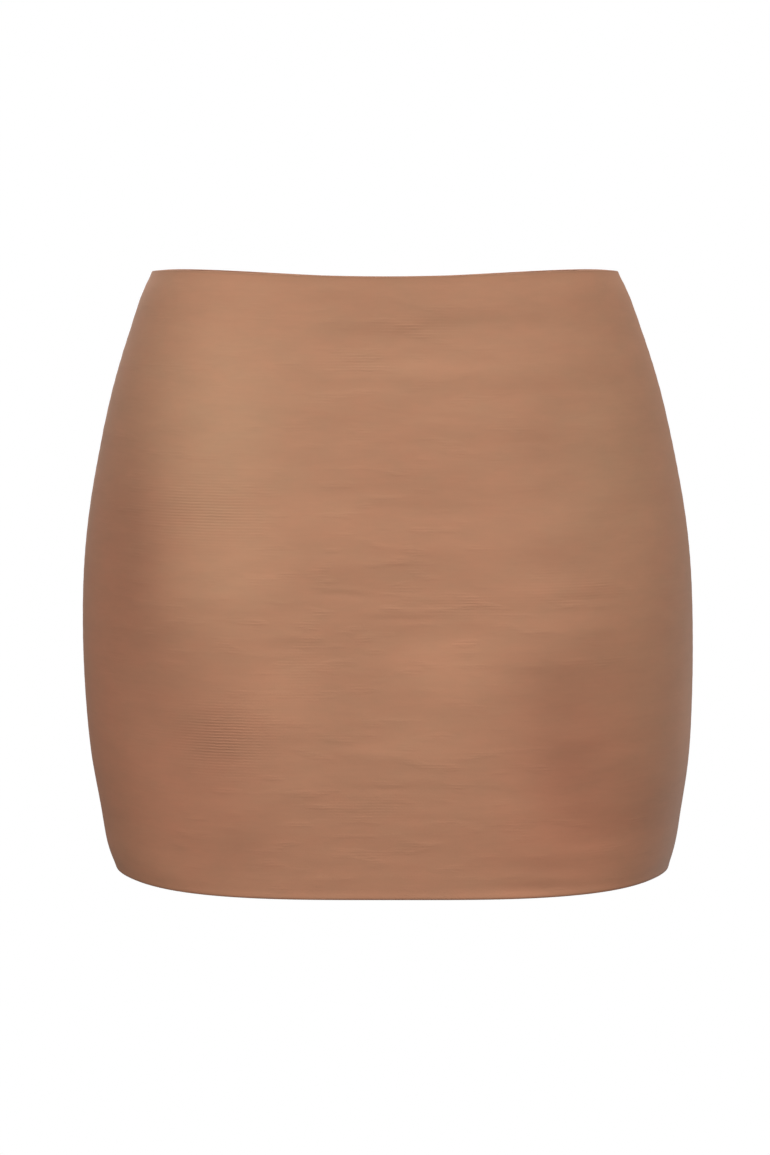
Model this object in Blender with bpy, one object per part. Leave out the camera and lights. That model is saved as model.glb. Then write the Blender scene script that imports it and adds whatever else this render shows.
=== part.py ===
"""Mesh mini skirt: a pull-on tube of doubled stretch mesh, filled out as it is worn.

Metres, +Z up. The front faces -Y, and +X is on the right of someone who looks at the front. The origin
is the middle of the waist opening, where a wearer's waist holds the skirt, and the skirt hangs below it.
Two panels, front and back, meet at a side seam on each side. Waist and hem are open, turned edges.
"""

import math
from collections import namedtuple

import bpy
import numpy as np

MM = 0.001

# Driving dimensions
LENGTH = 341.4 * MM  # straight down from the waist to the hem at the centre front
WALL = 1.6 * MM  # the doubled mesh, both layers as one wall
SEAM_GAP = 0.3 * MM  # between the two panels at each side seam
FRONT_DIP = 3.4 * MM  # how far the waist edge sinks at the centre front
BACK_DIP = 5.0 * MM  # and at the centre back
DIP_SHARPNESS = 5  # the dip fades to the sides as this power of the cosine
SEAM_PULL = 1.0 * MM  # how far each side seam draws the waist edge down
PULL_SHARPNESS = 24  # a high power of the sine, so only the last 20 mm beside the seam sink
HEM_LIFT = 1.1 * MM  # how far each side seam draws the hem up
LIFT_SHARPNESS = 3  # the lift grows towards the seams as this power of the sine
SIDE_BULGE = 0.015  # how far the section stands outside an ellipse near the side seams

COLUMNS = {"front": 36, "back": 28}  # faces across each panel
ROWS = {"front": 44, "back": 24}  # faces down each panel
MIDDLE = {"front": 0.0, "back": math.pi}  # turn of each panel's centre line
COLOUR = {"front": (0.42, 0.24, 0.15, 1), "back": (0.40, 0.225, 0.14, 1)}  # tan mesh, linear
ROUGHNESS = 0.8
METALLIC = 0.0

# The body of the tube, in millimetres. drop is the distance below the waist, half_width half the breadth
# from side to side, shift how far the middle of the breadth lies to the right of the waist's middle,
# front and back the depths from the axis, and flatness how much flatter than an ellipse the cloth
# spans the middle of the front and of the back, as it does between two hips or two thighs.
Section = namedtuple("Section", "drop half_width shift front back flatness")
SECTIONS = (
    Section(0, 130.0, 0.0, 92.0, 92.0, 0.050),
    Section(10, 135.3, 0.15, 93.4, 94.2, 0.050),
    Section(30, 142.9, 0.5, 95.8, 98.6, 0.055),
    Section(60, 152.5, 0.8, 99.0, 105.5, 0.060),
    Section(100, 162.1, 1.0, 102.3, 114.0, 0.070),
    Section(150, 170.5, 1.3, 104.2, 120.5, 0.080),
    Section(200, 173.3, 1.6, 104.5, 120.5, 0.090),
    Section(250, 172.3, 2.4, 103.6, 115.0, 0.100),
    Section(280, 169.8, 3.1, 102.6, 110.8, 0.110),
    Section(310, 165.1, 3.6, 101.4, 107.0, 0.120),
    Section(330, 161.3, 3.8, 100.4, 104.6, 0.120),
    Section(341, 157.2, 4.3, 99.8, 103.4, 0.120),
)

# The soft hollows and ripples of each panel, in millimetres. First the wide ones, where the cloth follows
# the hips and the thighs and spans between them, then the largest creases. across is the middle's place,
# to the right of the centre line, and drop its distance below the waist. reach is half the fold's length
# and spread half its breadth. rise lifts its right end and bow lowers both ends. height is a ridge, or a
# trough where it is negative.
Fold = namedtuple("Fold", "across drop reach spread rise bow height")
FOLDS = {
    "front": (
        Fold(0, 40, 60, 40, 0, 0, -3.1),
        Fold(-95, 90, 36, 50, 0, 0, 2.3),
        Fold(95, 100, 36, 50, 0, 0, -1.2),
        Fold(0, 120, 60, 60, 0, 0, -3.2),
        Fold(-90, 195, 42, 60, 0, 0, 4.7),
        Fold(92, 205, 36, 55, 0, 0, 6.5),
        Fold(-90, 280, 36, 30, 0, 0, 1.6),
        Fold(100, 280, 30, 30, 0, 0, 1.7),
        Fold(100, 28, 40, 13, 0, 0, -0.49),
        Fold(20, 38, 60, 9, 4, 0, -0.73),
        Fold(40, 56, 45, 6, 0, 0, 0.34),
        Fold(112, 66, 18, 14, 0, 0, -0.71),
        Fold(60, 84, 35, 8, 0, 0, 0.31),
        Fold(-22, 88, 20, 12, 0, 0, -0.61),
        Fold(-100, 120, 40, 12, 6, 0, 0.53),
        Fold(40, 126, 50, 12, 2, 0, -0.52),
        Fold(15, 150, 60, 9, 3, 4, 0.38),
        Fold(-15, 173, 25, 7, 0, 0, -0.34),
        Fold(-80, 176, 40, 9, 8, 0, 0.35),
        Fold(90, 184, 45, 5, 0, 0, -0.38),
        Fold(15, 199, 20, 9, 2, 0, -0.55),
        Fold(-52, 209, 16, 10, 6, 0, -0.35),
        Fold(15, 266, 30, 9, 2, 0, 0.45),
        Fold(-55, 284, 30, 8, 8, 0, 0.36),
        Fold(115, 308, 30, 14, 0, 0, -0.95),
        Fold(15, 316, 40, 7, 0, 0, -0.39),
        Fold(80, 327, 50, 7, 0, 0, -0.77),
    ),
    "back": (
        Fold(-72, 172, 46, 60, 0, 0, 2.5),
        Fold(74, 176, 46, 60, 0, 0, 2.5),
        Fold(-14, 34, 48, 10, -3, 0, -1.0),
        Fold(22, 60, 40, 11, 2, 0, 0.7),
        Fold(-6, 92, 44, 11, 2, 4, -0.8),
        Fold(12, 226, 52, 12, -2, -6, -1.0),
        Fold(-30, 252, 40, 12, 2, 0, 0.7),
        Fold(-70, 290, 36, 12, 2, 0, -0.7),
    ),
}
SLOPE_STEP = 0.5 * MM  # the step over which the surface's slope is measured


def spline(column):
    """Return a smooth curve through one column of the section table, in metres for each metre of drop."""
    drops = np.array([section.drop * MM for section in SECTIONS])
    values = np.array([getattr(section, column) for section in SECTIONS])
    steps = np.diff(drops)
    slopes = np.diff(values) / steps
    count = len(drops)
    matrix = np.eye(count)
    target = np.zeros(count)
    for i in range(1, count - 1):
        matrix[i, i - 1] = steps[i - 1]
        matrix[i, i] = 2 * (steps[i - 1] + steps[i])
        matrix[i, i + 1] = steps[i]
        target[i] = 6 * (slopes[i] - slopes[i - 1])
    bends = np.linalg.solve(matrix, target)

    def curve(drop):
        i = int(np.clip(np.searchsorted(drops, drop) - 1, 0, count - 2))
        along = drop - drops[i]
        lean = slopes[i] - steps[i] * (2 * bends[i] + bends[i + 1]) / 6
        twist = (bends[i + 1] - bends[i]) / (6 * steps[i])
        return values[i] + along * (lean + along * (bends[i] / 2 + along * twist))

    return curve


CURVES = {column: spline(column) for column in Section._fields[1:]}


def waist_drop(turn):
    """How far below the origin the waist edge lies at a turn round the tube."""
    dip = FRONT_DIP if math.cos(turn) > 0 else BACK_DIP
    centre = dip * abs(math.cos(turn)) ** DIP_SHARPNESS
    return centre + SEAM_PULL * abs(math.sin(turn)) ** PULL_SHARPNESS


def hem_drop(turn):
    """How far below the origin the hem lies at a turn round the tube."""
    return LENGTH - HEM_LIFT * abs(math.sin(turn)) ** LIFT_SHARPNESS


def fold_height(side, across, drop):
    """Sum the soft ridges and troughs of one panel at a place, all in millimetres."""
    total = 0.0
    for fold in FOLDS[side]:
        along = (across - fold.across) / fold.reach
        middle = fold.drop - fold.rise * along + fold.bow * along**2
        down = (drop - middle) / fold.spread
        total += fold.height * math.exp(-(along**2) - down**2)
    return total


def surface(side, turn, drop):
    """The outer face at a turn round the tube, 0 at the centre front, and a drop below the waist."""
    half_width, shift, front, back, flatness = (CURVES[column](drop) for column in Section._fields[1:])
    depth = front if math.cos(turn) > 0 else back
    swell = 1 + math.sin(2 * turn) ** 2 * (SIDE_BULGE + flatness * math.cos(turn) ** 2)
    across = half_width * math.sin(turn) * swell
    through = -depth * math.cos(turn) * swell
    outward = np.array([math.sin(turn) / half_width, -math.cos(turn) / depth])
    outward = outward / np.linalg.norm(outward)
    height = fold_height(side, across if side == "front" else -across, drop / MM)
    x = (across + shift + height * outward[0]) * MM
    y = (through + height * outward[1]) * MM
    return np.array([x, y, -drop])


def wall_points(side, turn, drop):
    """A point on the outer face and the one behind it on the inner face."""
    step_turn = SLOPE_STEP / (CURVES["half_width"](drop) * MM)
    across = surface(side, turn + step_turn, drop) - surface(side, turn - step_turn, drop)
    upward = surface(side, turn, drop - SLOPE_STEP) - surface(side, turn, drop + SLOPE_STEP)
    normal = np.cross(across, upward)
    outer = surface(side, turn, drop)
    return outer, outer - WALL * normal / np.linalg.norm(normal)


def panel_grid(side):
    """Turn and drop of each vertex of a panel, row by row from the waist, left to right."""
    seam = math.pi / 2 - SEAM_GAP / 2 / (CURVES["front"](LENGTH / 2) * MM)
    turns = MIDDLE[side] + np.linspace(-seam, seam, COLUMNS[side] + 1)
    grid = []
    for share in np.linspace(0, 1, ROWS[side] + 1):
        grid.append([(turn, (1 - share) * waist_drop(turn) + share * hem_drop(turn)) for turn in turns])
    return grid


def make_panel(side):
    """Model one panel as a closed wall: an outer and an inner face, joined round the rim."""
    grid = panel_grid(side)
    wide = COLUMNS[side] + 1
    tall = ROWS[side] + 1
    pairs = [wall_points(side, turn, drop) for row in grid for turn, drop in row]
    points = [outer for outer, _ in pairs] + [inner for _, inner in pairs]
    layer = wide * tall
    faces = []
    for row in range(tall - 1):
        for column in range(wide - 1):
            corner = row * wide + column
            quad = (corner, corner + wide, corner + wide + 1, corner + 1)
            faces.append(quad)
            faces.append(tuple(layer + vertex for vertex in reversed(quad)))
    top = list(range(wide))
    right = [row * wide + wide - 1 for row in range(tall)]
    bottom = [layer - 1 - column for column in range(wide)]
    left = [row * wide for row in reversed(range(tall))]
    rim = top[:-1] + right[:-1] + bottom[:-1] + left[:-1]
    for here, after in zip(rim, rim[1:] + rim[:1]):
        faces.append((here, after, layer + after, layer + here))

    mesh = bpy.data.meshes.new(side)
    mesh.from_pydata([tuple(map(float, point)) for point in points], [], faces)
    mesh.validate()
    mesh.materials.append(stretch_mesh(side))
    mesh.shade_smooth()
    panel = bpy.data.objects.new(side, mesh)
    bpy.context.scene.collection.objects.link(panel)
    return panel


def stretch_mesh(side):
    """Matte tan stretch mesh."""
    material = bpy.data.materials.new(f"{side} stretch mesh")
    material.use_nodes = True
    shader = material.node_tree.nodes["Principled BSDF"]
    shader.inputs["Base Color"].default_value = COLOUR[side]
    shader.inputs["Roughness"].default_value = ROUGHNESS
    shader.inputs["Metallic"].default_value = METALLIC
    return material


for old in list(bpy.data.objects):
    bpy.data.objects.remove(old, do_unlink=True)

for name in ("front", "back"):
    make_panel(name)
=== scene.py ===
# %% [markdown]
# # A mesh mini skirt, in its worn shape
# The real skirt is taken to be two panels of fine stretch mesh, front and back, each doubled: an
# outer and an inner layer of one cloth, turned round at the waist and at the hem. They are sewn
# together down the sides. Nothing else is on it. This script dresses the plain frame that the CAD
# part gives: it builds each panel again as a thin cloth wall with its creases, gives it a cloth
# material, and sets up the studio. Lengths are in metres unless a comment says mm, +Z is up, and
# the front faces -Y.

# %% Load the frame
import math
from collections import namedtuple

import bpy
import numpy as np
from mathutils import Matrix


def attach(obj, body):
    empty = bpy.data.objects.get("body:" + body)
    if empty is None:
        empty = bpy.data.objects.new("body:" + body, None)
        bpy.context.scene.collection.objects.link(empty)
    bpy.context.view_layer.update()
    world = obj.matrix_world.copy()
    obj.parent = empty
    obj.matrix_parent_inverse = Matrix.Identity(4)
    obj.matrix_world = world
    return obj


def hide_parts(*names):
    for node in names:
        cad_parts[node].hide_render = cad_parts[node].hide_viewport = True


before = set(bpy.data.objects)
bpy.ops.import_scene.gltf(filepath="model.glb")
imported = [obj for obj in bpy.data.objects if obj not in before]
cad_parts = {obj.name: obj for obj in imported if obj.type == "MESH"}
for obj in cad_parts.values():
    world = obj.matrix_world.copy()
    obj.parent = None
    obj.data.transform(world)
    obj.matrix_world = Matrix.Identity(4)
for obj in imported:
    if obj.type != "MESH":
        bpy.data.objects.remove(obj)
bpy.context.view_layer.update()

MM = 0.001
scene = bpy.context.scene

# %% [markdown]
# ## Small helpers
# Colours are picked as sRGB hex values, as in any colour picker, but a shader works in linear
# light, so one function turns them. Another adds one shader node with its settings and links.
# With these two a material reads as a list of what it is made of.


# %% Helpers
def linear(hex_colour):
    """An sRGB hex colour such as C08E6C as linear red, green, blue and alpha."""
    parts = [int(hex_colour[i : i + 2], 16) / 255 for i in (0, 2, 4)]
    return (*[p / 12.92 if p <= 0.04045 else ((p + 0.055) / 1.055) ** 2.4 for p in parts], 1.0)


def add_node(tree, kind, settings=None, **inputs):
    """Add a shader node, set its properties, and link or set each input by its name or its number.

    Names are written with _ for a space, and a number is written as at_0, at_1 and so on.
    """
    node = tree.nodes.new("ShaderNode" + kind)
    for name, value in (settings or {}).items():
        setattr(node, name, value)
    for name, value in inputs.items():
        key = int(name[3:]) if name.startswith("at_") else name.replace("_", " ")
        socket = node.inputs[key]
        if isinstance(value, bpy.types.NodeSocket):
            tree.links.new(value, socket)
        else:
            socket.default_value = value
    return node


print("A tan in linear light:", [round(v, 3) for v in linear("BE9070")])

# %% [markdown]
# ## Camera
# The photo looks at the front from a little above the waist with a long lens: the waist edge and
# the hem are both nearly level, and the back of the waist is just hidden behind the front. The
# lens is worked out from the skirt's size in the picture, which is 770 by 1155 pixels.

# %% Camera
PICTURE_HEIGHT = 1155  # pixels
FOCAL_PIXELS = 3356.7  # the focal length, counted in pixels of the picture
SENSOR = 36.0  # mm along the picture's long side
CAMERA_PLACE = (0.0, -1.9, 0.010)
LOOK_DOWN = math.radians(5.553)

camera_data = bpy.data.cameras.new("camera")
camera_data.sensor_fit = "AUTO"
camera_data.sensor_width = SENSOR
camera_data.lens = SENSOR * FOCAL_PIXELS / PICTURE_HEIGHT
camera = bpy.data.objects.new("camera", camera_data)
camera.location = CAMERA_PLACE
camera.rotation_euler = (math.radians(90) - LOOK_DOWN, 0, 0)
scene.collection.objects.link(camera)
scene.camera = camera
print("Lens in mm:", round(camera_data.lens, 1))

# %% [markdown]
# ## Studio
# The skirt is shown in a white studio: large soft lights in front of it and behind it, a white
# floor well below and white walls all round. Area lights give soft shade with no hard edge. The
# two rim lamps stand behind the sides and give them a pale edge. The walls are the world: the
# camera sees it pure white, and the cloth gets less light from it than from the lamps, or the
# folds would lose their shape. The floor throws no light on the cloth.

# %% Studio light
Lamp = namedtuple("Lamp", "name azimuth elevation distance size power")  # degrees, metres, watts
LAMPS = (
    Lamp("key_right", 30, 60, 2.4, 1.3, 38.6),
    Lamp("fill_left", -60, 30, 2.4, 1.3, 17.0),
    Lamp("bounce_front", 0, -15, 2.4, 1.3, 18.6),
    Lamp("rim_right", 135, -20, 2.4, 1.3, 15.5),
    Lamp("rim_left", -150, 10, 2.4, 1.3, 12.0),
    Lamp("back_high", 180, 50, 2.4, 1.3, 30.0),
)
SKIRT_MIDDLE = (0.0, 0.0, -0.170)
WALL_GLOW = 0.03  # light that the white walls give the cloth
FLOOR_LEVEL = -2.0
FLOOR_BREADTH = 60.0


def add_lamp(lamp):
    """A square area light that looks at the skirt. Azimuth 0 is the camera's side, + its right."""
    azimuth, elevation = math.radians(lamp.azimuth), math.radians(lamp.elevation)
    away = np.array(
        [
            math.sin(azimuth) * math.cos(elevation),
            -math.cos(azimuth) * math.cos(elevation),
            math.sin(elevation),
        ]
    )
    data = bpy.data.lights.new(lamp.name, "AREA")
    data.shape = "SQUARE"
    data.size = lamp.size
    data.energy = lamp.power
    light = bpy.data.objects.new(lamp.name, data)
    light.location = away * lamp.distance + SKIRT_MIDDLE
    light.rotation_euler = (math.radians(90) - elevation, 0, azimuth)
    light.visible_camera = False
    scene.collection.objects.link(light)
    return light


for lamp in LAMPS:
    add_lamp(lamp)

world = bpy.data.worlds.new("white_studio")
world.use_nodes = True
scene.world = world
sky = world.node_tree
sky.nodes.clear()
seen = add_node(sky, "LightPath").outputs["Is Camera Ray"]
glow = add_node(sky, "Background", Color=(1, 1, 1, 1), Strength=WALL_GLOW)
white = add_node(sky, "Background", Color=(1, 1, 1, 1), Strength=1.0)
either = add_node(sky, "MixShader", at_0=seen, at_1=glow.outputs[0], at_2=white.outputs[0])
add_node(sky, "OutputWorld", Surface=either.outputs[0])
scene.view_settings.view_transform = "Standard"
print("Lamps:", len(LAMPS))

# %% Studio floor
bpy.ops.mesh.primitive_plane_add(size=FLOOR_BREADTH, location=(0, 0, FLOOR_LEVEL))
floor = bpy.context.object
floor.name = "studio_floor"
paper = bpy.data.materials.new("White paper sweep, evenly lit")
paper.use_nodes = True
paper.node_tree.nodes.clear()
lit = add_node(paper.node_tree, "Emission", Color=(1, 1, 1, 1), Strength=1.0)
add_node(paper.node_tree, "OutputMaterial", Surface=lit.outputs[0])
floor.data.materials.append(paper)
floor.visible_diffuse = False  # the lamps alone light the cloth
floor.visible_glossy = False
print("Floor at", FLOOR_LEVEL, "m")

# %% [markdown]
# ## The tube
# Stretch mesh takes the round form of hips and keeps it. The form is a stack of level sections,
# from the waist to the hem: how wide, how deep to the front and to the back, and how much flatter
# than an ellipse. A natural cubic spline runs through each column of the table, so the side
# outline has no corner. These are the CAD part's own sizes, because the cloth has to lie on its
# solids.

# %% Sections
# In mm, but flatness is a share.
Section = namedtuple("Section", "drop half_width shift front back flatness")
SECTIONS = (
    Section(0, 130.0, 0.0, 92.0, 92.0, 0.050),
    Section(10, 135.3, 0.15, 93.4, 94.2, 0.050),
    Section(30, 142.9, 0.5, 95.8, 98.6, 0.055),
    Section(60, 152.5, 0.8, 99.0, 105.5, 0.060),
    Section(100, 162.1, 1.0, 102.3, 114.0, 0.070),
    Section(150, 170.5, 1.3, 104.2, 120.5, 0.080),
    Section(200, 173.3, 1.6, 104.5, 120.5, 0.090),
    Section(250, 172.3, 2.4, 103.6, 115.0, 0.100),
    Section(280, 169.8, 3.1, 102.6, 110.8, 0.110),
    Section(310, 165.1, 3.6, 101.4, 107.0, 0.120),
    Section(330, 161.3, 3.8, 100.4, 104.6, 0.120),
    Section(341, 157.2, 4.3, 99.8, 103.4, 0.120),
)
LENGTH = 341.4 * MM  # waist to hem at the centre front
SEAM_GAP = 0.02 * MM  # between the panels, sewn tight, where the solids are 0.3 mm apart
FRONT_DIP = 3.4 * MM  # how far the waist edge sinks at the centre front
BACK_DIP = 5.0 * MM
DIP_SHARPNESS = 5
SEAM_PULL = 1.0 * MM  # each side seam draws the waist edge down
PULL_SHARPNESS = 24
HEM_LIFT = 1.1 * MM  # and the hem up
LIFT_SHARPNESS = 3
SIDE_BULGE = 0.015


def spline(column):
    """A smooth curve through one column of the section table, for an array of drops in metres."""
    drops = np.array([section.drop * MM for section in SECTIONS])
    values = np.array([getattr(section, column) for section in SECTIONS])
    steps = np.diff(drops)
    slopes = np.diff(values) / steps
    inner = range(1, len(drops) - 1)
    matrix = np.eye(len(drops))
    target = np.zeros(len(drops))
    for i in inner:
        matrix[i, i - 1 : i + 2] = steps[i - 1], 2 * (steps[i - 1] + steps[i]), steps[i]
        target[i] = 6 * (slopes[i] - slopes[i - 1])
    bends = np.linalg.solve(matrix, target)

    def curve(drop):
        i = np.clip(np.searchsorted(drops, drop) - 1, 0, len(drops) - 2)
        along = drop - drops[i]
        lean = slopes[i] - steps[i] * (2 * bends[i] + bends[i + 1]) / 6
        twist = (bends[i + 1] - bends[i]) / (6 * steps[i])
        return values[i] + along * (lean + along * (bends[i] / 2 + along * twist))

    return curve


CURVES = {column: spline(column) for column in Section._fields[1:]}


def waist_drop(turn):
    """How far below the origin the waist edge lies, at a turn round the tube."""
    dip = np.where(np.cos(turn) > 0, FRONT_DIP, BACK_DIP)
    centre = dip * np.abs(np.cos(turn)) ** DIP_SHARPNESS
    return centre + SEAM_PULL * np.abs(np.sin(turn)) ** PULL_SHARPNESS


def hem_drop(turn):
    """How far below the origin the hem lies, at a turn round the tube."""
    return LENGTH - HEM_LIFT * np.abs(np.sin(turn)) ** LIFT_SHARPNESS


print("Half width at the hip in mm:", round(float(CURVES["half_width"](0.2)), 1))

# %% [markdown]
# ## Creases
# Tight stretch mesh has no folds that hang. It has shallow level ripples where it is a little
# long for the body, above all up the middle of the front, where it spans between the hips. Each
# row of the table is one soft ridge or trough, placed on the photo: across is its middle,
# to the right of the centre line, and drop its distance below the waist. reach is half its length
# and spread half its breadth, rise lifts its right end and bow lowers both ends. height is a
# trough where it is negative, and was set so that the shading comes near the photo's. The wide
# forms come first. The largest rows are in the CAD part too. The back isn't in the photo, so it
# gets fewer and plainer ones.

# %% Crease table
Crease = namedtuple("Crease", "across drop reach spread rise bow height")  # all in mm
CREASES = {
    "front": (
        Crease(0, 40, 60, 40, 0, 0, -3.1),
        Crease(-95, 90, 36, 50, 0, 0, 2.3),
        Crease(95, 100, 36, 50, 0, 0, -1.2),
        Crease(0, 120, 60, 60, 0, 0, -3.2),
        Crease(-130, 170, 22, 60, 0, 0, 0.38),
        Crease(-90, 195, 42, 60, 0, 0, 4.7),
        Crease(0, 200, 40, 80, 0, 0, -0.39),
        Crease(92, 205, 36, 55, 0, 0, 6.5),
        Crease(100, 280, 30, 30, 0, 0, 1.7),
        Crease(-90, 280, 36, 30, 0, 0, 1.6),
        Crease(0, 300, 50, 40, 0, 0, 0.52),
        Crease(-28, 10, 14, 4, 0, 0, 0.24),
        Crease(-28, 18, 12, 5, 0, 0, -0.16),
        Crease(30, 22, 26, 4, 3, 0, 0.09),
        Crease(-75, 26, 60, 13, 0, 0, -0.25),
        Crease(100, 28, 40, 13, 0, 0, -0.49),
        Crease(35, 30, 26, 4, 3, 0, -0.24),
        Crease(20, 38, 60, 9, 4, 0, -0.73),
        Crease(10, 48, 28, 4, 1, 0, -0.28),
        Crease(40, 56, 45, 6, 0, 0, 0.34),
        Crease(10, 58, 28, 3, 1, 0, 0.16),
        Crease(60, 62, 30, 3.5, 2, 0, 0.06),
        Crease(112, 66, 18, 14, 0, 0, -0.71),
        Crease(-30, 66, 12, 5, 0, 0, -0.2),
        Crease(-5, 68, 25, 6, 0, 0, 0.29),
        Crease(52, 69, 25, 5, 0, 0, -0.18),
        Crease(60, 84, 35, 8, 0, 0, 0.31),
        Crease(-22, 88, 20, 12, 0, 0, -0.61),
        Crease(50, 100, 30, 5, 0, 0, -0.08),
        Crease(85, 118, 14, 12, 0, 0, 0.12),
        Crease(-100, 120, 40, 12, 6, 0, 0.53),
        Crease(10, 123, 22, 3, 0, 0, 0.1),
        Crease(40, 126, 50, 12, 2, 0, -0.52),
        Crease(110, 130, 18, 9, 6, 0, 0.3),
        Crease(30, 131, 20, 3, 0, 0, -0.08),
        Crease(-35, 135, 30, 8, 3, 0, 0.19),
        Crease(92, 143, 24, 5, 0, 0, 0.07),
        Crease(-85, 148, 35, 9, 8, 0, -0.12),
        Crease(15, 150, 60, 9, 3, 4, 0.38),
        Crease(0, 156, 24, 3, 2, 3, 0.05),
        Crease(108, 157, 35, 7, 2, 0, -0.11),
        Crease(28, 160, 16, 4, -3, 3, 0.07),
        Crease(0, 161, 24, 3, 2, 3, -0.06),
        Crease(95, 165, 26, 5, 0, 0, -0.08),
        Crease(40, 170, 25, 7, 3, 0, -0.23),
        Crease(-24, 171, 16, 1.5, -1, 1, 0.14),
        Crease(-26, 174, 16, 1.5, -1, 1, -0.14),
        Crease(-15, 173, 25, 7, 0, 0, -0.34),
        Crease(-80, 176, 40, 9, 8, 0, 0.35),
        Crease(12, 181, 28, 4.5, 0, 0, -0.2),
        Crease(104, 177.5, 20, 2.5, 0, 0, -0.23),
        Crease(-48, 183, 18, 4, 2, 0, -0.09),
        Crease(90, 184, 45, 5, 0, 0, -0.38),
        Crease(50, 195, 30, 6, 6, 0, -0.14),
        Crease(15, 199, 20, 9, 2, 0, -0.55),
        Crease(90, 206, 38, 10, 0, 0, 0.29),
        Crease(50, 207, 26, 6, 6, 0, -0.12),
        Crease(-52, 209, 16, 10, 6, 0, -0.35),
        Crease(45, 218, 30, 9, 5, 0, -0.06),
        Crease(12, 226, 20, 8, 0, 0, 0.1),
        Crease(-90, 238, 40, 10, 0, 0, 0.28),
        Crease(72, 243, 30, 10, 5, 0, -0.16),
        Crease(-50, 246, 25, 12, 0, 0, 0.27),
        Crease(112, 252, 25, 8, 5, 0, 0.18),
        Crease(-25, 262, 26, 4, 3, 0, 0.09),
        Crease(15, 266, 30, 9, 2, 0, 0.45),
        Crease(128, 266, 15, 8, 0, 0, 0.23),
        Crease(-100, 270, 30, 12, 3, 0, -0.15),
        Crease(10, 275, 24, 3.5, 0, 0, 0.18),
        Crease(70, 276, 30, 5, 2, 0, 0.1),
        Crease(0, 283, 22, 3, 0, 0, 0.11),
        Crease(-55, 284, 30, 8, 8, 0, 0.36),
        Crease(-22, 289, 20, 2.5, 2, 0, 0.12),
        Crease(60, 293, 40, 6, 3, 0, 0.18),
        Crease(72, 302, 24, 4, 2, 0, -0.06),
        Crease(-100, 303, 40, 8, 3, 0, 0.13),
        Crease(30, 306, 26, 3.5, 0, 0, -0.08),
        Crease(115, 308, 30, 14, 0, 0, -0.95),
        Crease(-70, 312, 26, 5, 3, 0, -0.11),
        Crease(15, 316, 40, 7, 0, 0, -0.39),
        Crease(-80, 325, 60, 7, 0, 0, -0.07),
        Crease(80, 327, 50, 7, 0, 0, -0.77),
        Crease(70, 328, 26, 4, 0, 0, 0.17),
        Crease(-40, 331, 7, 4, 0, 0, 0.17),
        Crease(75, 336, 30, 4, 0, 0, -0.67),
    ),
    "back": (
        Crease(-72, 172, 46, 60, 0, 0, 2.5),
        Crease(74, 176, 46, 60, 0, 0, 2.5),
        Crease(-14, 34, 48, 10, -3, 0, -1.0),
        Crease(22, 60, 40, 11, 2, 0, 0.7),
        Crease(-6, 92, 44, 11, 2, 4, -0.8),
        Crease(12, 226, 52, 12, -2, -6, -1.0),
        Crease(-30, 252, 40, 12, 2, 0, 0.7),
        Crease(-70, 290, 36, 12, 2, 0, -0.7),
        Crease(-40, 14, 22, 5, 2, 0, -0.22),
        Crease(46, 24, 28, 5, -2, 0, -0.28),
        Crease(4, 46, 26, 4, 1, 0, 0.2),
        Crease(-52, 54, 24, 6, 3, 0, -0.3),
        Crease(64, 70, 26, 5, -2, 0, 0.24),
        Crease(18, 78, 30, 4, 2, 2, -0.26),
        Crease(-24, 104, 22, 4, -1, 0, 0.22),
        Crease(34, 108, 26, 6, 2, 0, -0.34),
        Crease(-4, 122, 20, 7, 0, 3, 0.3),
        Crease(6, 140, 18, 5, 1, 3, -0.28),
        Crease(-8, 158, 16, 6, 0, 2, 0.24),
        Crease(10, 178, 18, 5, -1, 2, -0.3),
        Crease(-6, 198, 22, 5, 2, 0, 0.3),
        Crease(54, 214, 30, 6, 4, -3, -0.36),
        Crease(-58, 222, 30, 6, -4, -3, -0.4),
        Crease(16, 240, 28, 4, 0, -2, 0.26),
        Crease(-84, 238, 26, 5, -3, 0, -0.3),
        Crease(88, 244, 28, 6, 3, 0, -0.34),
        Crease(40, 262, 34, 5, 2, 0, -0.28),
        Crease(-14, 276, 30, 4, -1, 0, -0.24),
        Crease(62, 286, 30, 6, 2, 0, 0.3),
        Crease(-36, 302, 26, 5, 2, 0, 0.26),
        Crease(24, 308, 32, 5, -2, 0, -0.32),
        Crease(-96, 312, 30, 7, 2, 0, -0.36),
        Crease(92, 322, 34, 7, -2, 0, -0.44),
    ),
}


def crease_height(side, across, drop):
    """Sum the soft ridges and troughs of one panel, in mm, at arrays of places in mm."""
    total = np.zeros_like(across)
    for crease in CREASES[side]:
        along = (across - crease.across) / crease.reach
        middle = crease.drop - crease.rise * along + crease.bow * along**2
        down = (drop - middle) / crease.spread
        total += crease.height * np.exp(-(along**2) - down**2)
    return total


print("Creases:", {side: len(rows) for side, rows in CREASES.items()})
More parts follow.
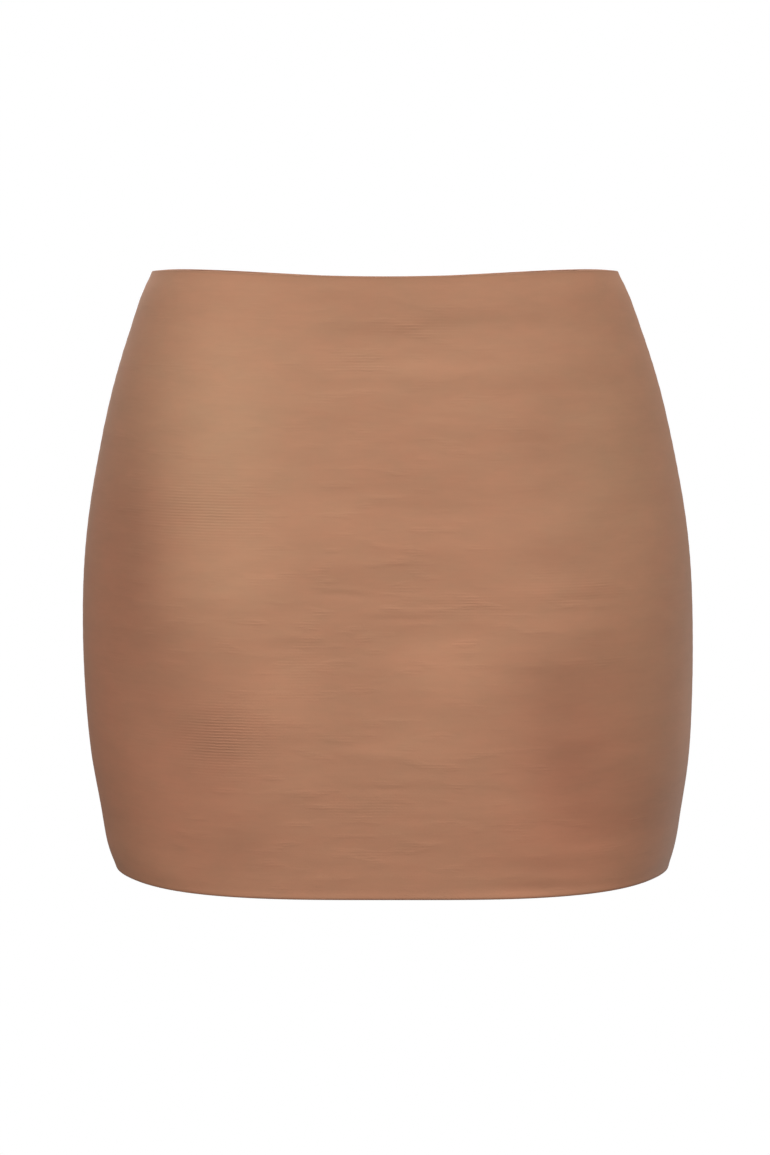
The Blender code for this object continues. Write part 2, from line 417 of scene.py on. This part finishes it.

# %% [markdown]
# ## Painted light and shade, and slack cloth
# The cloth's colour has its light and shade painted in. It is painted deeper and redder where the
# shade falls, on the flanks and in the hollows below the hips, and lighter where the light falls,
# most of all on the front of the left hip. A pale strip of painted rim light runs low down the
# right side, and the hem's corners are painted lighter with light from below. The net may open
# where it is drawn tight, or it may partly be light, which one photo can't tell. Each row is one
# broad soft patch, placed as the creases are. In the table of painted light and shade, amount is
# how much lighter the cloth is painted, as a share, or deeper where it is negative. The other
# tables have the same columns. The panels carry all four as values at their vertices, and the
# material reads them there.

# %% Patch tables
Patch = namedtuple("Patch", "across drop reach spread amount")  # mm, the last a bare number
LIGHT_AND_SHADE_PATCHES = {  # how much lighter: painted light, or painted shade where negative
    "front": (
        Patch(-90, 95, 34, 70, 0.15),
        Patch(-75, 160, 26, 30, 0.07),
        Patch(-138, 150, 18, 55, -0.21),
        Patch(-125, 215, 24, 30, -0.08),
        Patch(-95, 262, 28, 26, -0.13),
        Patch(-57, 225, 22, 28, 0.13),
        Patch(-30, 130, 26, 14, 0.08),
        Patch(34, 212, 28, 18, 0.16),
        Patch(92, 152, 22, 14, -0.10),
        Patch(92, 224, 22, 32, -0.11),
        Patch(100, 268, 26, 20, -0.19),
        Patch(85, 90, 18, 30, -0.06),
        Patch(138, 162, 18, 45, 0.08),
        Patch(80, 22, 60, 20, -0.05),
        Patch(18, 252, 45, 16, 0.05),
        Patch(-80, 314, 34, 14, -0.08),
        # The next two rows are the hem's corners, painted lighter with light from below.
        Patch(-130, 327, 30, 12, 0.09),
        Patch(134, 328, 26, 14, 0.08),
        # A pale strip of painted rim light low down the right side.
        Patch(172, 258, 7, 38, 0.14),
        Patch(146, 298, 16, 26, -0.06),
    ),
    "back": (
        # The back: painted light on the hips, painted shade on the sides and low down.
        Patch(-80, 120, 40, 70, 0.09),
        Patch(78, 130, 40, 66, 0.07),
        Patch(-95, 262, 34, 26, -0.09),
        Patch(98, 255, 34, 30, -0.10),
        Patch(138, 160, 18, 60, -0.12),
        Patch(-138, 160, 18, 60, -0.12),
        Patch(10, 300, 50, 14, -0.04),
    ),
}
SHADE_REDNESS = {  # how much redder, as the log of red over green: painted shade colour, less red where the light falls
    "front": (
        Patch(-92, 88, 45, 60, -0.09),
        Patch(120, 105, 30, 50, -0.065),
        Patch(-90, 172, 36, 22, -0.04),
        Patch(-144, 165, 26, 65, 0.09),
        Patch(-158, 240, 14, 70, 0.06),
        Patch(-120, 282, 50, 60, 0.105),
        Patch(102, 262, 38, 44, 0.11),
        Patch(110, 312, 46, 32, 0.09),
        Patch(0, 330, 120, 50, 0.03),
        Patch(20, 42, 90, 40, -0.03),
    ),
    "back": (
        Patch(-90, 90, 50, 60, -0.05),
        Patch(95, 95, 46, 60, -0.05),
        Patch(-115, 275, 50, 60, 0.09),
        Patch(112, 270, 50, 56, 0.09),
        Patch(0, 330, 120, 50, 0.03),
    ),
}
COURSES = {  # where the level lines of stitches show, and how strongly
    "front": (
        Patch(-98, 130, 26, 15, 1.3),
        Patch(-88, 252, 22, 16, 1.8),
        Patch(-15, 50, 20, 5, 0.6),
        Patch(18, 30, 22, 6, 0.6),
        Patch(40, 180, 22, 7, 0.5),
        Patch(-43, 214, 12, 16, 0.4),
        Patch(100, 172, 30, 8, 0.5),
        Patch(-10, 290, 30, 6, 0.5),
    ),
    "back": (
        Patch(60, 120, 40, 18, 0.8),
        Patch(-70, 230, 30, 16, 0.9),
        Patch(-20, 60, 20, 5, 0.6),
        Patch(30, 280, 34, 7, 0.5),
    ),
}
SLACK = {  # where the two layers slip on each other, over and above the slackness everywhere
    "front": (
        Patch(0, 40, 44, 26, 0.5),
        Patch(10, 95, 60, 26, 0.3),
        Patch(0, 145, 60, 22, 0.4),
        Patch(-15, 187, 80, 26, 0.9),
        Patch(80, 190, 40, 24, 0.4),
        Patch(-10, 290, 80, 34, 0.6),
    ),
    "back": (
        Patch(0, 50, 50, 30, 0.6),
        Patch(0, 120, 30, 50, 0.5),
        Patch(0, 215, 60, 30, 0.7),
        Patch(0, 300, 90, 30, 0.5),
    ),
}
SLACK_EVERYWHERE = 0.45
PAINTED = {"painted_light_and_shade": LIGHT_AND_SHADE_PATCHES, "redness": SHADE_REDNESS, "slack": SLACK, "courses": COURSES}


def patches(rows, across, drop):
    """Sum soft round patches at arrays of places in mm."""
    total = np.zeros_like(across)
    for row in rows:
        along, down = (across - row.across) / row.reach, (drop - row.drop) / row.spread
        total += row.amount * np.exp(-(along**2) - down**2)
    return total


for name, table in PAINTED.items():
    print("Patches of", name, {side: len(rows) for side, rows in table.items()})

# %% [markdown]
# ## Small unevenness
# Between the creases the mesh is never quite smooth: the two layers cling and slip on each other,
# which leaves shallow level puckers, 4 to 9 mm broad and 16 to 52 mm long. There are hundreds, so
# they come from a seeded random generator instead of a table, with sizes judged from the photo.

# %% Puckers
PUCKERS = {"front": 420, "back": 420}
PUCKER_REACH = (8.0, 26.0)  # mm, half the length
PUCKER_SPREAD = (1.8, 4.5)  # mm, half the breadth
PUCKER_HEIGHT = 0.085  # mm, one standard deviation
PUCKER_TILT = 0.04  # how far it rises for each mm to the right, one standard deviation
SEEDS = {"front": 11, "back": 12}
WINDOW = 2.6  # a pucker is worked out only within this many spreads of its middle
WINDOW_MARGIN = 6  # mm more, because neither the grid's rows nor the puckers are quite level


def pucker_height(side, across, drop):
    """Sum the small puckers of one panel, in mm, over a grid of places in mm."""
    chance = np.random.default_rng(SEEDS[side])
    total = np.zeros_like(across)
    widest = np.abs(across).max()
    for _ in range(PUCKERS[side]):
        middle, level = chance.uniform(-widest, widest), chance.uniform(drop.min(), drop.max())
        reach, spread = chance.uniform(*PUCKER_REACH), chance.uniform(*PUCKER_SPREAD)
        height, tilt = chance.normal(0, PUCKER_HEIGHT), chance.normal(0, PUCKER_TILT)
        rows = np.abs(drop.mean(axis=1) - level) < WINDOW * spread + WINDOW_MARGIN
        if not rows.any():
            continue
        along = (across[rows] - middle) / reach
        down = (drop[rows] - level + tilt * (across[rows] - middle)) / spread
        total[rows] += height * np.exp(-(along**2) - down**2)
    return total * (SLACK_EVERYWHERE + patches(SLACK[side], across, drop))


print("Puckers:", PUCKERS)

# %% [markdown]
# ## A panel of cloth
# Each panel is one sheet of doubled mesh, so it is built as one closed wall: down the outer face,
# round the turned hem, up the inner face and round the turned waist. It is made by hand from
# curved sheets, as mesh code, because its every point comes from the section table. The doubled
# edges at waist and hem are a little thicker than the cloth, and at the side seams the cloth
# turns in, which leaves a groove.

# %% Panel sizes
COLUMNS = 176  # faces across a panel, before the finer ones at its seams
ROWS = 300  # faces down a panel
INNER_EVERY = 3  # the inner face has one row for this many of the outer face
THICKNESS = 1.3 * MM  # two layers of mesh
ROLL_STEPS = 6  # faces round a turned edge
SEAM_ROUND = 0.55 * MM  # radius of the turn into the side seam
SEAM_STEPS = (0.0, 0.12, 0.35, 0.75, 1.4, 2.2)  # mm from the seam, places of the finer columns
EDGE_STEPS = (0.0, 0.5, 1.1, 1.8, 2.6, 3.5)  # mm from waist and hem, places of the finer rows
BEAD = 0.28 * MM  # how far the turned edge stands out
BEAD_BREADTH = 2.6  # mm
EDGE_SHADE = -0.22  # painted shade along the turned edge, which is one tight fold
EDGE_BREADTH = 0.6  # mm
SEAM_PUCKER = 0.12 * MM  # the stitches gather the cloth a little beside the seam
SEAM_PUCKER_STEP = 8.5  # mm from one to the next
SEAM_PUCKER_BREADTH = 5.0  # mm
SEAM_PUCKER_DRIFT = 2  # how unevenly they follow each other, in radians
SEAM_THINNING = 0.85  # how much of half the thickness the turn into the seam may take away
MIDDLE = {"front": 0.0, "back": math.pi}  # turn of each panel's centre line


def refined(low, high, count, fine):
    """Evenly spaced values from low to high, with the fine steps at both ends."""
    fine = np.array(fine)
    between = np.linspace(low + fine[-1], high - fine[-1], count + 1)
    return np.concatenate([low + fine[:-1], between, (high - fine[:-1])[::-1]])


def panel_grid(side):
    """Turn, drop and share of the way down of the outer face's vertices, a row for each level.

    The face stops half a thickness short of waist and hem, where the turned edges round it off.
    """
    depth = CURVES["front"](LENGTH / 2) * MM
    seam = math.pi / 2 - SEAM_GAP / 2 / depth
    fine_turns = [step * MM / depth for step in SEAM_STEPS]
    turns = MIDDLE[side] + refined(-seam, seam, COLUMNS, fine_turns)
    fine_shares = [step * MM / LENGTH for step in EDGE_STEPS]
    shares = refined(0.0, 1.0, ROWS, fine_shares)[:, None]
    turn = np.broadcast_to(turns, (len(shares), len(turns)))
    top, bottom = waist_drop(turn) + THICKNESS / 2, hem_drop(turn) - THICKNESS / 2
    return turn, (1 - shares) * top + shares * bottom, shares[:, 0]


def unit(vectors):
    """The same directions with a length of one."""
    return vectors / np.linalg.norm(vectors, axis=-1, keepdims=True)


def outer_face(side, turn, drop):
    """Points of the outer face, with its creases and puckers, in metres."""
    half_width, shift, front, back, flatness = (CURVES[name](drop) for name in Section._fields[1:])
    depth = np.where(np.cos(turn) > 0, front, back)
    swell = 1 + np.sin(2 * turn) ** 2 * (SIDE_BULGE + flatness * np.cos(turn) ** 2)
    across = half_width * np.sin(turn) * swell
    through = -depth * np.cos(turn) * swell
    outward = unit(np.stack([np.sin(turn) / half_width, -np.cos(turn) / depth], axis=-1))
    place = across if side == "front" else -across
    height = crease_height(side, place, drop / MM) + pucker_height(side, place, drop / MM)
    x = (across + shift + height * outward[..., 0]) * MM
    y = (through + height * outward[..., 1]) * MM
    return np.stack([x, y, -drop], axis=-1)


def arc_lengths(points):
    """Distance of each vertex along its row from the row's middle, in metres."""
    steps = np.linalg.norm(np.diff(points, axis=1), axis=-1)
    along = np.concatenate([np.zeros((len(points), 1)), np.cumsum(steps, axis=1)], axis=1)
    return along - along[:, -1:] / 2


def surface_normals(points):
    """Outward unit normals of a grid whose rows run left to right and whose columns run down."""
    return unit(np.cross(np.gradient(points, axis=0), np.gradient(points, axis=1)))


print("Grid of a panel:", panel_grid("front")[0].shape)


# %% Build a panel
def make_panel(side, name):
    """One panel as a closed wall, with a UV map in real metres and the patch tables' values."""
    turn, drop, shares = panel_grid(side)
    skin = outer_face(side, turn, drop)
    normal = surface_normals(skin)
    down = unit(np.gradient(skin, axis=0))
    across = arc_lengths(skin)

    # The turned edge stands out a little, and the seam edge turns in by a quarter round.
    to_edge = np.broadcast_to(np.minimum(shares, 1 - shares)[:, None] * LENGTH / MM, turn.shape)
    skin = skin + normal * (BEAD * np.exp(-((to_edge / BEAD_BREADTH) ** 2)))[..., None]
    to_seam = np.abs(across[:, -1:]) - np.abs(across)
    wave = drop / MM / SEAM_PUCKER_STEP
    gather = np.sin(2 * math.pi * wave + SEAM_PUCKER_DRIFT * np.sin(wave))
    gather = gather * np.exp(-((to_seam / MM / SEAM_PUCKER_BREADTH) ** 2))
    skin = skin + normal * (SEAM_PUCKER * gather)[..., None]
    into = np.clip(1 - to_seam / SEAM_ROUND, 0, 1)
    turned_in = SEAM_ROUND * (1 - np.sqrt(1 - into**2))
    half = THICKNESS / 2
    middle = skin - normal * half
    thin = (half - np.minimum(turned_in, half * SEAM_THINNING))[..., None]

    # The wall runs round: outer face down, hem, inner face up, waist.
    roll = np.linspace(0, math.pi, ROLL_STEPS + 1)[1:-1, None, None]
    hem_edge = middle[-1] + thin[-1] * (np.cos(roll) * normal[-1] + np.sin(roll) * down[-1])
    inner = (middle - normal * thin)[::-INNER_EVERY]
    waist_edge = middle[0] - thin[0] * (np.cos(roll) * normal[0] + np.sin(roll) * down[0])
    wall = [middle + normal * thin, hem_edge, inner, waist_edge]

    def round_wall(values):
        """Values of the outer face's grid, carried round the wall as its points are."""
        hem, waist = (np.repeat(row, len(roll), axis=0) for row in (values[-1:], values[:1]))
        return np.concatenate([values, hem, values[::-INNER_EVERY], waist])

    points = np.concatenate(wall)
    u, v, from_edge = round_wall(across), round_wall(-drop), round_wall(to_edge)
    tall, wide = points.shape[:2]
    number = np.arange(tall * wide).reshape(tall, wide)
    around = np.roll(number, -1, axis=0)
    quads = np.stack([number[:, :-1], around[:, :-1], around[:, 1:], number[:, 1:]], axis=-1)
    faces = [tuple(map(int, quad)) for quad in quads.reshape(-1, 4)]
    faces += seam_faces(number[:, 0], len(turn), ROLL_STEPS - 1)
    faces += [face[::-1] for face in seam_faces(number[:, -1], len(turn), ROLL_STEPS - 1)]

    mesh = bpy.data.meshes.new(name)
    mesh.from_pydata(points.reshape(-1, 3).tolist(), [], faces)
    corners = np.empty(len(mesh.loops), dtype=np.int32)
    mesh.loops.foreach_get("vertex_index", corners)
    uv = np.stack([u.ravel()[corners], v.ravel()[corners]], axis=-1)
    mesh.uv_layers.new(name="cloth").data.foreach_set("uv", uv.ravel())
    mirror = 1 if side == "front" else -1
    for label, table in PAINTED.items():
        values = patches(table[side], mirror * points[..., 0] / MM, -v / MM)
        # The turned waist and hem edges get a thin line of painted shade.
        if label == "painted_light_and_shade":
            values = values + EDGE_SHADE * np.exp(-((from_edge / EDGE_BREADTH) ** 2))
        attribute = mesh.attributes.new(label, "FLOAT", "POINT")
        attribute.data.foreach_set("value", values.ravel().astype(np.float32))
    mesh.shade_smooth()
    panel = bpy.data.objects.new(name, mesh)
    scene.collection.objects.link(panel)
    return panel


def seam_faces(loop, outer_rows, roll_rows):
    """Close one side of a panel: faces between its outer and its inner rows, top to bottom."""
    loop = [int(vertex) for vertex in loop]
    outer = loop[:outer_rows]
    hem_roll = loop[outer_rows : outer_rows + roll_rows]
    inner = loop[outer_rows + roll_rows : len(loop) - roll_rows][::-1]
    waist_roll = loop[len(loop) - roll_rows :]
    faces = [tuple([outer[0], *waist_roll[::-1], inner[0]])]
    steps = len(inner) - 1
    last = outer_rows - 1
    for i in range(steps):
        top = max(last - (steps - i) * INNER_EVERY, 0)
        bottom = last - (steps - i - 1) * INNER_EVERY
        faces.append((*outer[top : bottom + 1][::-1], inner[i], inner[i + 1]))
    faces.append((outer[-1], inner[-1], *hem_roll[::-1]))
    return faces


front_panel = make_panel("front", "front_panel")
back_panel = make_panel("back", "back_panel")
for panel in (front_panel, back_panel):
    count = sum(len(face.vertices) - 2 for face in panel.data.polygons)
    print(panel.name, "triangles:", count)

# %% [markdown]
# ## Stretch mesh
# The cloth is polyamide and elastane, warp knitted into a fine mesh and worn double, so its holes
# don't show. Dyed flat tan, it is matte: its yarns scatter the light, and a soft sheen lies on
# surfaces seen edge on. Level lines of stitches, the courses, show here and there. The tans were
# adjusted until the render's colour came near the photo's, and the roughness is that of a typical
# matte synthetic knit.

# %% Cloth material
TAN, RED_TAN = "BE9070", "D49070"  # the same green and blue, less and more red
REDNESS_RANGE = 0.24  # from the one to the other, as the log of red over green
TAN_PLACE = 0.42  # where cloth of no redness lies between the two
ROUGHNESS = 0.78
SHEEN, SHEEN_ROUGHNESS, SHEEN_TINT = 0.12, 0.5, "F0DDCF"  # of yarns seen edge on
SPECULAR = 0.25

# Each size is a length across the cloth and a length down it.
BLOTCH_SIZE, BLOTCH_STRENGTH = (36 * MM, 13 * MM), 0.16  # soft uneven dye
HUE_SIZE, HUE_STRENGTH = (20 * MM, 12 * MM), 0.14  # patches where the dye took a little redder
HUE_SEED = 3.0
STREAK_SIZE, STREAK_STRENGTH = (18 * MM, 2 * MM), 0.05  # yarns, as they took the dye
GROUP_SIZE = (26 * MM, 8 * MM)  # crinkles and courses show in small groups
GROUP_START, GROUP_FULL = 0.50, 0.72  # the values of the noise between which a group fades in
CRINKLE_SIZE = (9 * MM, 1.7 * MM)  # too fine for the panel's faces
CRINKLE_RELIEF = 0.20 * MM
COURSE_PITCH = 1.6 * MM  # between the photo's lines, which are 1.35 to 2 mm apart
COURSE_RELIEF = 0.05 * MM
COURSE_BREAK_SIZE = (14 * MM, 3 * MM)  # a course shows for a stretch and fades again
COURSE_IN_GROUPS = 0.5  # how much the courses show in the groups of crinkles
WAVE_REPEAT = math.pi / 10  # the pitch of a Wave texture of scale 1, in its own units
NET_SIZE = (0.8 * MM, 0.64 * MM)  # holes of the mesh
NET_RELIEF, NET_STRENGTH = 0.02 * MM, 0.6
NET_UNEVENNESS = 0.25


def cloth_material(name):
    """Doubled stretch mesh with uneven dye, level courses, a fine net and a little sheen."""
    material = bpy.data.materials.new(name)
    material.use_nodes = True
    tree = material.node_tree
    tree.nodes.clear()
    place = add_node(tree, "UVMap", {"uv_map": "cloth"}).outputs[0]

    def maths(operation, first, second=0.5, third=0.5):
        """One step of arithmetic."""
        inputs = {"at_0": first, "at_1": second, "at_2": third}
        return add_node(tree, "Math", {"operation": operation}, **inputs).outputs[0]

    def painted(label):
        """What a patch table says at this place."""
        return add_node(tree, "Attribute", {"attribute_name": label}).outputs["Fac"]

    def scaled(across, down):
        """The place on the cloth, counted in these lengths."""
        return add_node(tree, "Mapping", Vector=place, Scale=(1 / across, 1 / down, 1)).outputs[0]

    def noise(size, detail, roughness=0.5, **seed):
        """Soft noise from 0 to 1. A seed, as the fourth coordinate W, gives another pattern."""
        settings = {"noise_dimensions": "4D"} if seed else {}
        inputs = {"Vector": scaled(*size), "Scale": 1.0, "Detail": detail, "Roughness": roughness}
        return add_node(tree, "TexNoise", settings, **inputs, **seed).outputs["Fac"]

    def swing(value, strength, middle=0.0):
        """A value from 0 to 1 as one that goes half the strength to each side of the middle."""
        return maths("MULTIPLY_ADD", value, strength, middle - strength / 2)

    def raised(height, distance, strength=1.0, **below):
        """Relief of this height in metres, over the relief below."""
        inputs = {"Height": height, "Distance": distance, "Strength": strength}
        return add_node(tree, "Bump", **inputs, **below).outputs[0]

    # Colour: tan, or redder tan in painted shade, made lighter or deeper by painted light and
    # shade and uneven dye.
    dyed = swing(noise(HUE_SIZE, 3.0, 0.6, W=HUE_SEED), HUE_STRENGTH)
    redness = maths("ADD", painted("redness"), dyed)
    hue = maths("MULTIPLY_ADD", redness, 1 / REDNESS_RANGE, TAN_PLACE)
    tans = {"at_6": linear(TAN), "at_7": linear(RED_TAN)}
    plain = add_node(tree, "Mix", {"data_type": "RGBA"}, Factor=hue, **tans).outputs[2]
    blotches = swing(noise(BLOTCH_SIZE, 4.0, 0.62), BLOTCH_STRENGTH, 1)
    streaks = swing(noise(STREAK_SIZE, 3.0, 0.6), STREAK_STRENGTH)
    level = maths("ADD", painted("painted_light_and_shade"), maths("ADD", blotches, streaks))
    grey = add_node(tree, "CombineColor", Red=level, Green=level, Blue=level).outputs[0]
    multiply = {"data_type": "RGBA", "blend_type": "MULTIPLY"}
    colour = add_node(tree, "Mix", multiply, Factor=1.0, at_6=plain, at_7=grey).outputs[2]

    # Relief: courses where their patches show them, crinkles in groups, and the net all over.
    groups = add_node(
        tree,
        "MapRange",
        {"interpolation_type": "SMOOTHSTEP"},
        Value=noise(GROUP_SIZE, 1.0),
        From_Min=GROUP_START,
        From_Max=GROUP_FULL,
    ).outputs[0]
    grouped = maths("MULTIPLY", groups, maths("ADD", painted("slack"), SLACK_EVERYWHERE))
    lines = add_node(
        tree,
        "TexWave",
        {"wave_type": "BANDS", "bands_direction": "Y"},
        Vector=scaled(COURSE_PITCH / WAVE_REPEAT, COURSE_PITCH / WAVE_REPEAT),
        Scale=1.0,
        Distortion=1.2,
        Detail=2.0,
        Detail_Scale=0.4,
    ).outputs["Fac"]
    broken = maths("MULTIPLY", lines, noise(COURSE_BREAK_SIZE, 2.0))
    shown = maths("MULTIPLY_ADD", grouped, COURSE_IN_GROUPS, painted("courses"))
    courses = maths("MULTIPLY", broken, shown)
    crinkles = maths("MULTIPLY", noise(CRINKLE_SIZE, 2.0), grouped)
    net = add_node(
        tree,
        "TexVoronoi",
        {"feature": "DISTANCE_TO_EDGE"},
        Vector=scaled(*NET_SIZE),
        Scale=1.0,
        Randomness=NET_UNEVENNESS,
    ).outputs["Distance"]
    relief = raised(courses, COURSE_RELIEF * 2)  # twice, because the breaks halve it
    relief = raised(crinkles, CRINKLE_RELIEF, Normal=relief)
    relief = raised(net, NET_RELIEF, NET_STRENGTH, Normal=relief)

    shader = add_node(tree, "BsdfPrincipled", Base_Color=colour, Normal=relief)
    shader.inputs["Roughness"].default_value = ROUGHNESS
    shader.inputs["Sheen Weight"].default_value = SHEEN
    shader.inputs["Sheen Roughness"].default_value = SHEEN_ROUGHNESS
    shader.inputs["Sheen Tint"].default_value = linear(SHEEN_TINT)
    shader.inputs["Specular IOR Level"].default_value = SPECULAR
    add_node(tree, "OutputMaterial", Surface=shader.outputs[0])
    return material


for side, panel in (("front", front_panel), ("back", back_panel)):
    panel.data.materials.append(cloth_material(f"Doubled stretch mesh, {side}"))
    print("Material:", panel.data.materials[0].name)

# %% [markdown]
# ## Side seams
# The two panels are sewn together down each side. The seam is turned inwards, so that only a fine
# groove shows, with the thread of each stitch lying across the bottom of it. One stitch is
# modelled as a small ball of thread, drawn out until its ends sink into the cloth, and is then
# copied down the groove.

# %% Side seam stitches
STITCH_STEP = 2.5 * MM
STITCH_BREADTH = 1.1 * MM  # across the seam
THREAD = 0.26 * MM  # thickness
STITCH_LIFT = 0.34 * MM  # above the bottom of the groove
STITCH_SLANT = math.radians(18)
STITCH_FACES = {"segments": 10, "ring_count": 6}  # round the thread and along it
END_MARGIN = 2.0 * MM  # no stitch on the turned edges
THREAD_TAN = "B98668"  # matched to the cloth, a little deeper
THREAD_ROUGHNESS = 0.55  # spun polyester has a dull shine


def groove_bottom(turn):
    """The points down the front panel's edge at one side seam, from the waist to the hem."""
    rows, wide = panel_grid("front")[0].shape
    column = wide - 1 if turn > 0 else 0
    vertices = front_panel.data.vertices
    return np.array([vertices[row * wide + column].co for row in range(rows)])


def make_seam(name, turn):
    """One side seam: a stitch modelled with operators, copied and joined into one object."""
    bpy.ops.object.select_all(action="DESELECT")
    bpy.ops.mesh.primitive_uv_sphere_add(radius=THREAD / 2, **STITCH_FACES)
    stitch = bpy.context.object
    bpy.ops.object.mode_set(mode="EDIT")
    bpy.ops.mesh.select_all(action="SELECT")
    bpy.ops.transform.resize(value=(1, STITCH_BREADTH / THREAD, 1))
    bpy.ops.object.mode_set(mode="OBJECT")
    bpy.ops.object.shade_smooth()
    edge = groove_bottom(turn)
    drops = -edge[:, 2]
    for drop in np.arange(drops[0] + END_MARGIN, drops[-1] - END_MARGIN, STITCH_STEP):
        here, lower = np.interp([drop, drop + MM], drops, edge[:, 0])
        copy = stitch.copy()
        copy.data = stitch.data.copy()
        copy.location = (here + STITCH_LIFT * math.sin(turn), 0, -drop)
        copy.rotation_euler = (STITCH_SLANT, -math.atan((lower - here) / MM), 0)
        scene.collection.objects.link(copy)
        copy.select_set(True)
    stitch.select_set(False)
    bpy.context.view_layer.objects.active = copy
    bpy.data.objects.remove(stitch)
    bpy.ops.object.join()
    seam = bpy.context.object
    bpy.ops.object.transform_apply(location=True, rotation=True, scale=True)
    seam.name = name
    return seam


thread = bpy.data.materials.new("Polyester sewing thread, tan")
thread.use_nodes = True
thread_shader = thread.node_tree.nodes["Principled BSDF"]
thread_shader.inputs["Base Color"].default_value = linear(THREAD_TAN)
thread_shader.inputs["Roughness"].default_value = THREAD_ROUGHNESS
seams = [make_seam("seam_thread_right", math.pi / 2), make_seam("seam_thread_left", -math.pi / 2)]
for seam in seams:
    seam.data.materials.clear()
    seam.data.materials.append(thread)
    print(seam.name, "triangles:", sum(len(face.vertices) - 2 for face in seam.data.polygons))

# %% [markdown]
# ## Into the frame
# Each panel stands for its CAD node, which is hidden and kept for collision, rides on the one
# body, and takes that panel's finish slot. Both are sheets of stretch cloth, held stretched.

# %% Frame calls
for panel, node in ((front_panel, "front"), (back_panel, "back")):
    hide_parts(node)
    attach(panel, "root")
for seam in seams:
    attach(seam, "root")
